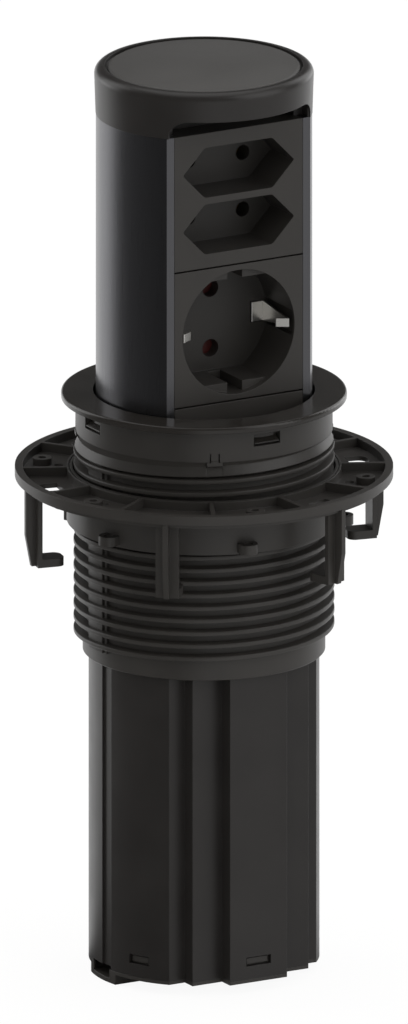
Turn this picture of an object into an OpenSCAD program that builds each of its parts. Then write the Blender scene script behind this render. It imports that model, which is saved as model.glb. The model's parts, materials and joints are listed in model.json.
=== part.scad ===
// Pop up desk socket. A round tower with two flat two-pin sockets and one earthed socket slides
// up out of a tube that hangs in a hole in the desk. A threaded ring clamps it from below.
// Sizes are millimetres. Z is up, and z = 0 is the desk's top surface on the tower's axis.
// The tower's flat face looks along -Y.

/* [Desk] */
// Diameter of the round hole in the desk top
desk_hole_d = 80; // [80:0.5:88]
// Thickness of the desk top that the clamp ring is screwed up to
desk_t = 22; // [14:1:40]

/* [Collar] */
// How far the collar reaches past the edge of the desk hole
collar_lap = 3.6; // [3:0.2:8]
// Thickness of the collar on the desk
collar_t = 2.0; // [1.6:0.1:3]
// Rounding of the collar's upper edge
collar_edge_r = 0.9; // [0.3:0.1:1.4]
// Gap between the tower and the hole in the collar
collar_gap = 0.9; // [0.5:0.1:1.2]
// Depth of the collar's spigot below the desk surface
spigot_h = 6.5; // [6.5:0.1:7.5]
// Wall of the collar's spigot
spigot_wall = 1.7; // [1.2:0.1:2]

/* [Neck sleeve] */
// How much smaller the neck is than the desk hole
neck_play = 1.5; // [1:0.1:2]
// Height of the neck sleeve
neck_h = 10.2; // [10:0.2:14]
// Wall of the neck sleeve
neck_wall = 1.65; // [1.4:0.05:1.8]
// Width of each snap window
window_w = 9.2; // [6:0.2:12]
// Height of each snap window
window_h = 3.7; // [2.4:0.1:3.8]
// Depth of the window's upper edge below the desk surface
window_top = 2.2; // [2:0.1:3.2]
// Number of T-shaped tongues
tongue_n = 4; // [3:1:8]
// Width of a tongue's stem
tongue_w = 2.3; // [1.6:0.1:3]
// Width of a tongue's foot
tongue_foot_w = 4.9; // [4:0.1:6]
// Height of a tongue's foot
tongue_foot_h = 1.2; // [1:0.1:1.6]

/* [Threaded sleeve] */
// Rise of the thread in one turn
pitch = 4.0; // [3.5:0.1:5]
// Depth of the thread
thread_depth = 2.8; // [2.2:0.1:2.9]
// Width of a thread ridge at its crest
crest_w = 1.4; // [1:0.1:1.6]
// Width of a thread ridge at its root
root_w = 2.0; // [1.6:0.1:2.2]
// How much smaller the thread is than the desk hole
thread_play = 0.4; // [0.4:0.1:1]
// Height of the plain band above the thread
band_h = 4.6; // [4.6:0.2:6]
// Length of the thread along the sleeve
thread_h = 60.5; // [40:0.5:70]
// Height of the plain band below the thread
lower_band_h = 4.7; // [4:0.1:12]
// Width of the flat strip that runs down the left side
strip_w = 8.8; // [4:0.2:12]
// Depth of the strip below the thread's crest
strip_drop = 1.4; // [1:0.1:2]

/* [Outer tube] */
// Running gap between the tower and the tube
tube_gap = 0.8; // [0.6:0.1:1]
// Wall of the outer tube
tube_wall = 1.4; // [1.2:0.1:1.8]
// Depth of the tube's lower end below the desk surface
tube_depth = 176.3; // [165:1:200]
// Distance from the axis to the first flat of the stepped front
flat_1 = 24.0; // [23.6:0.1:25]
// Distance from the axis to the second flat
flat_2 = 28.8; // [26:0.2:30]
// Distance from the axis to the third flat
flat_3 = 33.8; // [32:0.2:34]
// Width of the tube's front up to the second flat
front_2_w = 40.6; // [34:0.2:42]
// Width of the third flat, the front channel
front_3_w = 20; // [16:0.5:24]
// Width of the groove down each side
groove_w = 4.9; // [3:0.1:8]
// Depth of the groove down each side
groove_t = 0.7; // [0.3:0.1:1]
// Width of a snap window near the tube's lower end
base_window_w = 8.6; // [6:0.2:10]
// Height of a snap window near the tube's lower end
base_window_h = 2.8; // [2:0.1:4]
// Height of the snap windows' centres above the tube's lower end
base_window_up = 5.5; // [4.5:0.5:8]

/* [Base cover] */
// Thickness of the cover's rim below the tube
base_rim_t = 1.1; // [0.8:0.1:2]
// Thickness of the cover's floor
base_floor_t = 2.4; // [2:0.1:3]
// Height of the cover's skirt inside the tube
base_skirt_h = 9; // [8:0.5:14]
// Wall of the skirt
base_skirt_t = 1.5; // [1.2:0.1:2]
// Depth of the latch box under the tube's left side
box_h = 4.2; // [4:0.1:5]
// Width of the latch box
box_w = 16.9; // [14:0.5:20]
// Width of the latch slot
slot_w = 10.8; // [8:0.2:12]
// Radius of the cable hole
cable_r = 4.3; // [3:0.1:5]

/* [Clamp ring] */
// Outer radius of the ring's rim
rim_r = 57.7; // [56:0.1:62]
// Width of the rim
rim_w = 2.4; // [1.8:0.1:3]
// Height of the rim
rim_h = 3.0; // [2.8:0.1:4]
// Thickness of the ring's floor
floor_t = 1.4; // [1.2:0.1:2]
// Height of the ring's threaded hub
hub_h = 16.8; // [14:0.2:22]
// Wall of the hub
hub_wall = 1.8; // [1.7:0.1:2.2]
// Number of legs, bosses and slots
leg_n = 6; // [3:1:8]
// Azimuth of the first leg
leg_az = -11.5; // [-30:0.5:30]
// Thickness of a rib
rib_t = 1.3; // [1:0.1:2]
// Radius of the circle of screw bosses
boss_pcr = 50.4; // [49:0.1:51]
// Outer diameter of a screw boss
boss_d = 5.8; // [5:0.1:7]
// Diameter of a screw hole
boss_hole_d = 2.6; // [2:0.1:3]
// Width of a leg's plate
leg_w = 7.2; // [5:0.1:9]
// Thickness of a leg's plate
leg_t = 1.4; // [1.2:0.1:2]
// Depth of the legs' feet below the desk's underside
leg_h = 27.1; // [20:0.5:34]
// Thickness of a leg's foot
foot_t = 2.6; // [1.5:0.1:3]
// Radius to which the legs' feet reach inward
foot_r = 45.5; // [44.5:0.1:48]
// Width of a leg's outer web
web_t = 1.7; // [1.2:0.1:2.5]

/* [Tower] */
// Radius of the tower's profile
tower_r = 33.0; // [33:0.1:33.4]
// Distance from the axis to the tower's flat face
face_d = 21.4; // [21:0.1:21.8]
// Wall of the profile
profile_wall = 1.8; // [1.4:0.1:2]
// Height of the profile's upper end above the desk
profile_top = 90.1; // [88:0.1:92]
// Depth of the profile's lower end below the desk
profile_low = 20; // [18:0.5:26]
// Width of the socket modules
module_w = 45; // [44.5:0.1:45]
// Thickness of the faceplates
plate_t = 2.0; // [1.6:0.1:2.4]
// Height of one faceplate
plate_h = 43.05; // [42:0.05:43.1]
// Seam between faceplates
seam = 0.5; // [0.2:0.1:0.8]

/* [Cap] */
// Height of the cap
cap_h = 14.8; // [13:0.1:18]
// Radius of the cap at its widest
cap_r = 33.5; // [33.4:0.1:33.8]
// How much smaller the cap's radius is at its lower edge
cap_draft = 0.4; // [0:0.1:0.4]
// Rounding of the cap's upper edge
cap_edge_r = 2.6; // [1:0.1:3]
// Wall of the cap's skirt
cap_wall = 2.2; // [1.8:0.1:3]
// Radius of the inlay disc
inlay_r = 29.5; // [28:0.1:30]
// Thickness of the inlay disc
inlay_t = 1.2; // [0.8:0.1:2]
// Width of the groove around the inlay disc
inlay_gap = 0.7; // [0.4:0.1:0.9]
// Height of the finger recess's ceiling above the cap's lower edge
arch_h = 5.8; // [5.2:0.1:6.8]
// Rounding of the finger recess's upper corners
arch_r = 4.9; // [3:0.1:5.1]
// Depth of the finger recess behind the face
finger_d = 8.0; // [5:0.1:9]

/* [Two-pin sockets] */
// Half the width of the six-sided recess
hex_w2 = 19.45; // [18.5:0.05:19.6]
// Half the width of its flat top and bottom
hex_flat2 = 11.8; // [10.5:0.1:12.5]
// Half its height
hex_h2 = 7.9; // [7.2:0.05:8]
// Depth of the recess
hex_d = 14.2; // [12:0.2:15]
// Rounding of its corners at the flat top and bottom
hex_r = 2.0; // [0.4:0.1:3]
// Rounding of its two side corners
hex_tip_r = 0.5; // [0.3:0.1:1.6]
// Distance between the two recesses
hex_pitch = 17.95; // [17.6:0.05:18.2]
// Distance of the upper recess below the profile's upper end
hex_drop = 12.6; // [12:0.1:12.8]
// Diameter of the pin holes
euro_hole_d = 4.7; // [4.2:0.1:5]
// Distance of a pin hole from the middle
pin_2 = 9.5; // [9:0.05:9.5]

/* [Earthed socket] */
// Radius of the round recess
well_r = 19.6; // [19:0.05:19.8]
// Depth of the round recess
well_d = 17.5; // [16:0.1:18]
// Wall of the recess
well_wall = 1.5; // [1.2:0.1:1.6]
// Thickness of its floor
well_floor = 4.0; // [3:0.1:5]
// Diameter of its pin holes
well_hole_d = 5.5; // [5:0.1:6]
// Height of the key flats above and below the middle
key_2 = 16.4; // [15.6:0.1:17]
// Drop of the key flats behind the face
key_drop = 2.4; // [0.4:0.1:3]
// Width of the key slots
key_w = 5.2; // [4:0.1:6]
// Thickness of the earth clip's strip
clip_t = 0.6; // [0.5:0.05:0.8]
// Width of the earth clip at its root
clip_w = 6.2; // [5:0.1:7]
// Width of the earth clip at its tip
clip_tip_w = 2.7; // [2:0.1:4]
// Travel of the pin shutter
shutter_travel = 6.4; // [6:0.1:6.6]

/* [Tower foot] */
// Height of the foot below the profile
foot_h = 18; // [16:0.5:24]
// Height of the foot's plug inside the profile
plug_h = 6; // [5:0.5:8]
// Half the width of a brake shoe
shoe_w2 = 5; // [4:0.2:6]
// Height of a brake shoe
shoe_h = 7.1; // [6:0.1:9]
// How far a brake shoe stands out of the tower
shoe_out = 0.5; // [0.4:0.05:0.5]

/* [Hidden] */
$fn = 96;

// Colours as the photograph shows them
BLACK = "#2b2a29";
SOFT_BLACK = "#3d3c3a";
CHARCOAL = "#504f4c";
ANODISED = "#26262a";
NICKEL = "#d9d9d6";
BRASS = "#c8a951";
RED = "#7c2420";
STEEL = "#a6a6a4";
WHITE = "#d8d6d0";

// Clearances: pieces that are fixed together, pieces that slide or turn, and a cut's overrun
fit = 0.15;
run = 0.3;
past = 1;

// Collar, neck and sleeve
collar_r = desk_hole_d / 2 + collar_lap;
collar_bore_r = tower_r + collar_gap;
neck_r = (desk_hole_d - neck_play) / 2;
neck_in_r = neck_r - neck_wall;
spigot_r = neck_in_r - fit;
neck_seat = 0.3;
window_n = 4;
window_az = -90;
window_low = window_top + window_h;
hook_share = 0.45;
tongue_az = -114.7;
tongue_up = 2.7;
slit_w = 0.35;
crest_r = (desk_hole_d - thread_play) / 2;
root_r = crest_r - thread_depth;
band_low = neck_h + band_h;
thread_low = band_low + thread_h;
sleeve_low = thread_low + lower_band_h;
thread_sink = 0.6;
// The waist between neck and thread: its depth, its narrowest level and how far it opens up and down
waist_t = 1.2;
waist_z = neck_h + 2.9;
waist_up = 2.5;
waist_down = 1.4;
thread_steps = 36;
// Height of the ridge's centre at azimuth 0, to within whole turns
thread_z0 = -51.07;

// Tube
tube_r = tower_r + tube_gap + tube_wall;
tube_in_r = tube_r - tube_wall;
sleeve_bore_r = tube_r + fit;
seat_r = neck_in_r - fit / 2;
flange_r = seat_r - fit;
flange_t = 2.0;
seat_low = band_low - 1.0;
flange_top = seat_low - flange_t;
groove_y = -1.75;
base_hook = 0.5;
// How much narrower the side windows are than the front one, at each end
side_trim = 0.75;
box_y = 2.1;
box_in = 10;
box_wall = 1.5;
slot_up = 0.9;
base_low = tube_depth + box_h;
bush_y = 8;
bush_wall = 2.0;
bush_flange = 3.0;
bush_flange_t = 1.6;
bush_up = 5;

// Clamp ring
ring_top = -desk_t;
hub_in_r = crest_r + run;
hub_r = hub_in_r + hub_wall;
hub_low = ring_top - hub_h;
floor_top = ring_top - rim_h + 0.2;
floor_low = floor_top - floor_t;
rebate_h = 1.2;
slip_in_r = hub_in_r + 0.05;
slip_r = slip_in_r + 0.85;
rebate_r = slip_r + run;
nut_tip_r = crest_r - strip_drop + 0.2;
nut_tip_w = 1.2;
nut_root_w = 1.6;
nut_h = 7.2;
boss_az = leg_az - 180 / leg_n;
boss_h = ring_top - 0.6 - floor_top + floor_t / 2;
rib_az = leg_az - 90 / leg_n;
core_r = 45.3;
core_hole_d = 3;
lug_w = 5.9;
lug_r = 46.5;
lug_h = 3.0;
lug_up = 0.7;
lug_hole_d = 3.0;
leg_gap = 2.4;
leg_r = rim_r - rim_w - leg_gap;
web_r = rim_r - 0.4;
web_low_r = web_r - 1.8;
web_knee = 9.8;
slot_in_r = foot_r + 0.5;
slot_out_r = leg_r - 0.4;
ring_slot_w = 7.6;

// Tower
face_y = -face_d;
plate_back = face_y + plate_t;
plate_w2 = module_w / 2 - 0.05;
opening_w2 = module_w / 2 + 0.05;
profile_in_r = tower_r - profile_wall;
ledge_x = 21.3;
ledge_t = 1.5;
port_r = 26.3;
port_out_r = 3.2;
port_bore_r = 1.35;
port_web_w = 2.4;
port_az = [22, 90, 158];
screw_r = 1.3;
screw_head_r = 2.7;
screw_head_t = 2.0;
screw_hole_r = 1.7;
head_hole_r = 3.0;
cap_top = profile_top + cap_h;
cap_low_r = cap_r - cap_draft;
arch_z = profile_top + arch_h;
arch_w2 = 24.8;
// Wall of the cap that stays outside the recess's shallow ends
arch_end = 0.6;
deck_t = 2.4;
deck_top = cap_top - inlay_t;
screw_grip = 10;

// Faceplates, from the top down
upper_z = profile_top - plate_h;
middle_z = upper_z - plate_h;
hex_z = [profile_top - hex_drop, profile_top - hex_drop - hex_pitch];
hex_wall = 1.1;
hex_floor = 2.0;
lip_t = 1.2;
well_z = middle_z + plate_h / 2;
well_back = face_y + well_d + well_floor;
clip_hole_w2 = 4.0;
clip_slot_x = 20.4;
well_boss_x = 21.2;

// Contact planes behind the faceplates
bar_y = 13;
bar_t = 0.8;
bar_w = 6;
earth_y = 15;
euro_back = face_y + hex_d + hex_floor;
contact_wall = 0.65;
contact_in = 5.0;
tail_r = 1.2;
tail_hole_r = 1.3;
euro_pin_r = 2.05;
well_pin_r = 2.45;
chamber_y = 7;
well_chamber_y = 10;
shutter_t = 1.8;
shutter_gap = 0.2;
shutter_w2 = 3.6;
shutter_h2 = 12.6;
shutter_y = well_back + shutter_gap;
cavity_back = shutter_y + shutter_t + shutter_gap;
carrier_x = 13.6;
carrier_h2 = 15.5;
cavity_x = shutter_w2 + shutter_travel + 2.4;
clip_x = 14.4;
clip_wall_x = 18.3;
clip_in_x = 15.1;
clip_front = 1.5;
clip_fold = 1.9;

// Foot, brake and terminal block
foot_top = -profile_low;
foot_low = foot_top - foot_h;
stop_gap = 0.2;
stop_w2 = front_3_w / 2 - tube_wall - 0.5;
stop_y = -(flat_3 - tube_wall - 0.5);
foot_in_r = 25;
foot_roof = 4;
shoe_in = 29.6;
shoe_z = foot_top - 6.6 - shoe_h / 2;
shoe_play = 0.2;
pocket_x = 26.5;
spring_r = 2.1;
wire_r = 0.25;
block_x = 16;
block_y = [6, 20];
block_low = foot_top + plug_h;
block_h = 13;
bar_low = block_low + 6;
door_x = 12;
door_y = [8, 17.5];

// Small helpers

module ring(r_out, r_in, low, high) {
    translate([0, 0, low])
    difference() {
        cylinder(r = r_out, h = high - low);
        translate([0, 0, -past]) cylinder(r = r_in, h = high - low + 2 * past);
    }
}

module flat_ring(r_out, r_in) {
    difference() {
        circle(r = r_out);
        circle(r = r_in);
    }
}

// A box from one corner to the other
module span(a, b) {
    translate(a) cube(b - a);
}

// A plate t thick on the azimuth az; its outline is drawn as radius and height
module radial_plate(t, az) {
    rotate([90, 0, az]) translate([0, 0, -t / 2]) linear_extrude(height = t) children();
}

// Copies round the axis
module around(n, az) {
    for (i = [0 : n - 1]) rotate([0, 0, az + 360 * i / n]) children();
}

// A bar along the line of points, t thick, drawn flat
module strip_line(points, t) {
    for (i = [0 : len(points) - 2]) {
        d = points[i + 1] - points[i];
        translate(points[i]) rotate(atan2(d[1], d[0])) translate([0, -t / 2]) square([norm(d), t]);
    }
    for (p = points) translate(p) circle(r = t / 2, $fn = 24);
}

// A cylinder along +Y from y0 to y1
module along_y(r, x, z, y0, y1) {
    translate([x, y0, z]) rotate([-90, 0, 0]) cylinder(r = r, h = y1 - y0);
}

// The four corners of a ridge's section at one angle, inner pair first
function ridge_section(a, z, r_root, w_root, r_tip, w_tip) =
    let (inner = r_root < r_tip ? [r_root, w_root] : [r_tip, w_tip])
    let (outer = r_root < r_tip ? [r_tip, w_tip] : [r_root, w_root])
    [for (c = [[inner, -1], [inner, 1], [outer, 1], [outer, -1]])
        [c[0][0] * cos(a), c[0][0] * sin(a), z + c[1] * c[0][1] / 2]];

// A helical ridge on the thread's line, moved by shift, whose centre runs from low to high.
// Over the first and last fade steps the tip sinks back to the root.
module ridge(r_root, w_root, r_tip, w_tip, low, high, shift, fade) {
    steps = ceil((high - low) / pitch * thread_steps);
    points = [for (i = [0 : steps])
        let (z = low + (high - low) * i / steps)
        let (grown = min(1, (i + 0.2) / fade, (steps - i + 0.2) / fade))
        each ridge_section(
            360 * (z - shift - thread_z0) / pitch, z,
            r_root, w_root, r_root + (r_tip - r_root) * grown, w_tip)];
    walls = [for (i = [0 : steps - 1]) for (j = [0 : 3])
        let (k = (j + 1) % 4, a = 4 * i, b = 4 * i + 4)
        each [[a + k, a + j, b + j], [a + k, b + j, b + k]]];
    last = 4 * steps;
    ends = [[0, 1, 2], [0, 2, 3], [last + 2, last + 1, last], [last + 3, last + 2, last]];
    polyhedron(points = points, faces = concat(ends, walls));
}

// A coil spring along +X
module coil(r, wire, long, turns, sides) {
    steps = turns * 10;
    points = [for (i = [0 : steps])
        let (a = 360 * turns * i / steps, x = wire + (long - 2 * wire) * i / steps)
        each [for (j = [0 : sides - 1])
            let (b = 360 * j / sides, d = r - wire + wire * cos(b))
            [x + wire * sin(b), d * cos(a), d * sin(a)]]];
    walls = [for (i = [0 : steps - 1]) for (j = [0 : sides - 1])
        let (k = (j + 1) % sides, a = sides * i, b = sides * (i + 1))
        each [[a + j, a + k, b + j], [a + k, b + k, b + j]]];
    first = [for (j = [sides - 1 : -1 : 0]) j];
    end = [for (j = [0 : sides - 1]) sides * steps + j];
    polyhedron(points = points, faces = concat([first, end], walls));
}

// The tower's section, grown by a gap
module tower_outline(grow) {
    intersection() {
        circle(r = tower_r + grow);
        translate([-2 * tower_r, face_y - grow]) square([4 * tower_r, 3 * tower_r]);
    }
}

// The tube's stepped section, drawn in by inset
module tube_outline(inset) {
    intersection() {
        circle(r = tube_r - inset);
        union() {
            translate([-tube_r, inset - flat_1]) square([2 * tube_r, 2 * tube_r]);
            translate([inset - front_2_w / 2, inset - flat_2]) square([front_2_w - 2 * inset, tube_r]);
            translate([inset - front_3_w / 2, inset - flat_3]) square([front_3_w - 2 * inset, tube_r]);
        }
    }
}

// Corners of a six-sided recess grown by g
function hex_corners(g) =
    let (slope = atan2(hex_h2, hex_w2 - hex_flat2))
    let (w = hex_w2 + g / sin(slope), f = hex_flat2 + g * tan(slope / 2), h = hex_h2 + g)
    [[w, 0], [f, h], [-f, h], [-w, 0], [-f, -h], [f, -h]];

function unit(v) = v / norm(v);

// Where a straight side that rises from p touches the outer side of the circle of radius r about c
function tangent_point(p, c, r) =
    let (d = c - p, half = asin(r / norm(d)), a = atan2(d[1], d[0]) - half)
    p + norm(d) * cos(half) * [cos(a), sin(a)];

// The six-sided recess with its corners rounded by arcs, of radius tip_r at its two side tips
module hex_outline(g, tip_r, flat_r) {
    c = hex_corners(g);
    bends = [for (i = [0 : 5])
        let (p = c[i], u = unit(c[(i + 5) % 6] - p), v = unit(c[(i + 1) % 6] - p))
        let (half = acos(u * v) / 2, r = i % 3 == 0 ? tip_r : flat_r)
        [p + u * r / tan(half), p + v * r / tan(half), p + unit(u + v) * r / sin(half), r]];
    polygon([for (b = bends) each [b[0], b[1]]]);
    for (b = bends) translate(b[2]) circle(r = b[3], $fn = 32);
}

// Housing

module collar() {
    color(BLACK) {
        rotate_extrude() difference() {
            union() {
                translate([collar_bore_r, 0]) square([collar_r - collar_edge_r - collar_bore_r, collar_t]);
                translate([collar_bore_r, 0]) square([collar_r - collar_bore_r, collar_t - collar_edge_r]);
                translate([collar_r - collar_edge_r, collar_t - collar_edge_r])
                    circle(r = collar_edge_r, $fn = 32);
                translate([spigot_r - spigot_wall, -spigot_h])
                    square([spigot_wall, spigot_h + collar_t / 2]);
            }
            // The groove that the neck sleeve's top sits in, so that only the outer part meets the desk
            translate([spigot_r, -past]) square([neck_r + fit - spigot_r, past + neck_seat]);
        }
        // The snap hooks, low in the neck's windows
        hook_r = neck_r - 0.35;
        low = 2 * run - window_low;
        high = low + hook_share * window_h;
        for (i = [0 : window_n - 1])
            radial_plate(window_w - 2 * run, window_az + 360 * i / window_n)
                polygon([
                    [spigot_r - spigot_wall / 2, low], [hook_r, low],
                    [hook_r, low + 0.3], [spigot_r, high], [spigot_r - spigot_wall / 2, high]
                ]);
    }
}

module neck_sleeve() {
    color(BLACK) {
        difference() {
            ring(neck_r, neck_in_r, -neck_h, neck_seat);
            around(window_n, window_az)
                span([neck_in_r - past, -window_w / 2, -window_low],
                     [neck_r + past, window_w / 2, -window_top]);
            around(tongue_n, tongue_az)
                for (side = [-1, 1])
                    translate([0, side * (tongue_w + slit_w) / 2, 0])
                        span([neck_in_r - past, -slit_w / 2, -neck_h - past],
                             [neck_r + past, slit_w / 2, tongue_up - neck_h]);
        }
        // The T-shaped feet of the tongues, which sit in notches of the threaded sleeve
        intersection() {
            ring(neck_r + 0.2, neck_in_r, -neck_h - tongue_foot_h, 0.4 - neck_h);
            around(tongue_n, tongue_az)
                span([0, -tongue_w / 2, -neck_h - tongue_foot_h], [2 * neck_r, tongue_w / 2, 0]);
        }
        intersection() {
            ring(neck_r + 0.2, neck_in_r, -neck_h - tongue_foot_h, -neck_h);
            around(tongue_n, tongue_az)
                span([0, -tongue_foot_w / 2, -neck_h - tongue_foot_h], [2 * neck_r, tongue_foot_w / 2, 0]);
        }
    }
}

module guide_ring() {
    color(BLACK)
    difference() {
        translate([0, 0, -flange_top]) cylinder(r = flange_r, h = flange_top - spigot_h - fit);
        translate([0, 0, -flange_top - past])
            linear_extrude(height = flange_top + past) tower_outline(run);
    }
}

module threaded_sleeve() {
    color(BLACK) {
        difference() {
            union() {
                ring(root_r, sleeve_bore_r, -sleeve_low, -seat_low);
                ring(neck_r, sleeve_bore_r, -band_low, -seat_low);
                ring(neck_r, seat_r, -seat_low, -neck_h);
                intersection() {
                    ring(crest_r - strip_drop, root_r - thread_sink, -thread_low, -band_low);
                    span([-2 * crest_r, -strip_w / 2, -thread_low], [0, strip_w / 2, 0]);
                }
            }
            around(tongue_n, tongue_az)
                span([seat_r - past, -tongue_foot_w / 2 - 0.1, -neck_h - tongue_foot_h - 0.1],
                     [neck_r + past, tongue_foot_w / 2 + 0.1, 0]);
            rotate_extrude() polygon([
                [neck_r - waist_t, -waist_z],
                [neck_r + waist_t, -waist_z - 2 * waist_down],
                [neck_r + waist_t, -waist_z + 2 * waist_up]
            ]);
        }
        ridge(root_r - thread_sink, root_w + 0.2, crest_r, crest_w,
              1.2 - thread_low, -band_low - 0.1, 0, 4);
    }
}

module outer_tube() {
    color(BLACK)
    difference() {
        union() {
            translate([0, 0, -tube_depth]) linear_extrude(height = tube_depth - seat_low + flange_t / 2)
                tube_outline(0);
            translate([0, 0, -seat_low]) cylinder(r = flange_r, h = flange_t);
        }
        translate([0, 0, -tube_depth - past]) linear_extrude(height = tube_depth) tube_outline(tube_wall);
        // Grooves down both sides, snap windows, and the notch over the latch box
        for (side = [-1, 1])
            translate([side * tube_r, groove_y, -tube_depth / 2 - seat_low])
                cube([2 * groove_t, groove_w, tube_depth], center = true);
        base_windows(base_window_w, base_window_h, tube_r + past);
        span([-tube_r - past, box_y - slot_w / 2, -tube_depth - past],
             [pocket_x - tube_r - box_in, box_y + slot_w / 2, slot_up - tube_depth]);
    }
}

// The snap windows near the tube's lower end, or the hooks that fill them
module base_windows(w, h, reach) {
    z = base_window_up - tube_depth;
    span([-w / 2, -reach, z - h / 2], [w / 2, inner_front(), z + h / 2]);
    for (az = [90, 206, 334])
        rotate([0, 0, az])
            span([tube_in_r - base_skirt_t, side_trim - w / 2, z - h / 2],
                 [reach, w / 2 - side_trim, z + h / 2]);
}

function inner_front() = tube_wall + base_skirt_t - flat_3;

module base_cover() {
    skirt = tube_wall + fit;
    color(SOFT_BLACK) {
        difference() {
            union() {
                translate([0, 0, -tube_depth - base_rim_t]) {
                    linear_extrude(height = base_rim_t) tube_outline(0);
                    linear_extrude(height = base_floor_t) tube_outline(skirt);
                    linear_extrude(height = base_skirt_h) difference() {
                        tube_outline(skirt);
                        tube_outline(skirt + base_skirt_t);
                    }
                }
                intersection() {
                    translate([0, 0, -base_low]) cylinder(r = tube_r, h = box_h);
                    span([-2 * tube_r, box_y - box_w / 2, -base_low],
                         [box_in - tube_r, box_y + box_w / 2, 0]);
                }
            }
            // The latch box is open inward and through its slot
            span([box_wall - tube_r, box_y - box_w / 2 + box_wall, box_wall - base_low],
                 [box_in - box_wall - tube_r, box_y + box_w / 2 - box_wall, 0]);
            span([-tube_r - past, box_y - slot_w / 2, box_wall - base_low],
                 [box_wall + past - tube_r, box_y + slot_w / 2, slot_up - tube_depth]);
            // Seat of the cable bush
            translate([0, bush_y, -base_low]) cylinder(r = cable_r + bush_wall + fit, h = 2 * box_h);
        }
        intersection() {
            base_windows(base_window_w - 4 * run, base_window_h - 3 * run, 2 * tube_r);
            translate([0, 0, -tube_depth]) linear_extrude(height = tube_depth / 2) difference() {
                tube_outline(tube_wall - base_hook);
                tube_outline(skirt + base_skirt_t / 2);
            }
        }
    }
}

module cable_bush() {
    inside = -tube_depth - base_rim_t + base_floor_t;
    color(SOFT_BLACK)
    translate([0, bush_y, 0])
    difference() {
        union() {
            translate([0, 0, -base_low]) cylinder(r = cable_r + bush_wall, h = base_low + inside + bush_up);
            translate([0, 0, inside]) cylinder(r = cable_r + bush_wall + bush_flange, h = bush_flange_t);
        }
        translate([0, 0, -base_low - past]) cylinder(r = cable_r, h = 2 * base_low);
    }
}

// Clamp ring

module slip_ring() {
    color(SOFT_BLACK) ring(slip_r, slip_in_r, ring_top - rebate_h + 0.1, ring_top);
}

module clamp_ring() {
    rim_in_r = rim_r - rim_w;
    color(BLACK) {
        difference() {
            union() {
                ring(hub_r, hub_in_r, hub_low, ring_top - rim_h);
                ring(rim_in_r + 1, hub_r - 0.5, floor_low, floor_top);
                // Hub, rim and ribs are flush on top
                translate([0, 0, ring_top - rim_h]) linear_extrude(height = rim_h) {
                    flat_ring(hub_r, hub_in_r);
                    flat_ring(rim_r, rim_in_r);
                    around(2 * leg_n, rib_az) translate([hub_r - 0.5, -rib_t / 2])
                        square([rim_in_r + 1 - hub_r, rib_t]);
                }
                around(leg_n, boss_az) {
                    translate([boss_pcr, 0, floor_top - floor_t / 2]) cylinder(d = boss_d, h = boss_h);
                    translate([0, 0, hub_low + lug_up]) lug();
                }
                around(leg_n, leg_az) leg();
            }
            // Rebate for the slip ring, screw holes, core holes and slots
            translate([0, 0, ring_top - rebate_h]) cylinder(r = rebate_r, h = 2 * rebate_h);
            around(leg_n, boss_az) {
                translate([boss_pcr, 0, floor_low - past]) cylinder(d = boss_hole_d, h = desk_t);
                translate([core_r, 0, floor_low - past]) cylinder(d = core_hole_d, h = floor_t + 2 * past);
            }
            around(leg_n, leg_az) ring_slot();
        }
        ridge(hub_r - 0.6, nut_root_w, nut_tip_r, nut_tip_w,
              hub_low + 1.2, hub_low + 1.2 + nut_h, pitch / 2, 3);
    }
}

// A rounded slot in the ring's floor
module ring_slot() {
    r = ring_slot_w / 2 - past;
    translate([0, 0, floor_low - past]) {
        span([slot_in_r, -ring_slot_w / 2, 0], [slot_out_r - r, ring_slot_w / 2, floor_t + 2 * past]);
        for (side = [-1, 1])
            translate([slot_out_r - r, side * past, 0]) cylinder(r = r, h = floor_t + 2 * past);
        span([slot_in_r, -past, 0], [slot_out_r, past, floor_t + 2 * past]);
    }
}

// A lug low on the hub, with a hole down through it
module lug() {
    end_r = lug_w / 2;
    difference() {
        union() {
            span([hub_r - 0.6, -lug_w / 2, 0], [lug_r - end_r, lug_w / 2, lug_h]);
            translate([lug_r - end_r, 0, 0]) cylinder(r = end_r, h = lug_h);
        }
        translate([lug_r - end_r, 0, -past]) cylinder(d = lug_hole_d, h = lug_h + 2 * past);
    }
}

// A leg: a plate, an outer web that tapers toward its end and a foot that reaches inward
module leg() {
    low = -desk_t - leg_h;
    end_r = 2.4;
    span([leg_r, -leg_w / 2, low], [leg_r + leg_t, leg_w / 2, floor_low + 0.5]);
    radial_plate(web_t, 0)
        polygon([
            [leg_r + leg_t / 2, low], [web_low_r, low], [web_r, low + web_knee],
            [web_r, ring_top - rim_h + 0.2], [leg_r + leg_t / 2, ring_top - rim_h + 0.2]
        ]);
    span([foot_r + end_r, -leg_w / 2, low], [leg_r + leg_t, leg_w / 2, low + foot_t]);
    span([foot_r, end_r - leg_w / 2, low], [foot_r + 2 * end_r, leg_w / 2 - end_r, low + foot_t]);
    for (side = [-1, 1])
        translate([foot_r + end_r, side * (leg_w / 2 - end_r), low])
            cylinder(r = end_r, h = foot_t, $fn = 48);
}

// Tower

module at_ports() {
    for (az = port_az) rotate([0, 0, az]) translate([port_r, 0, 0]) children();
}

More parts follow.
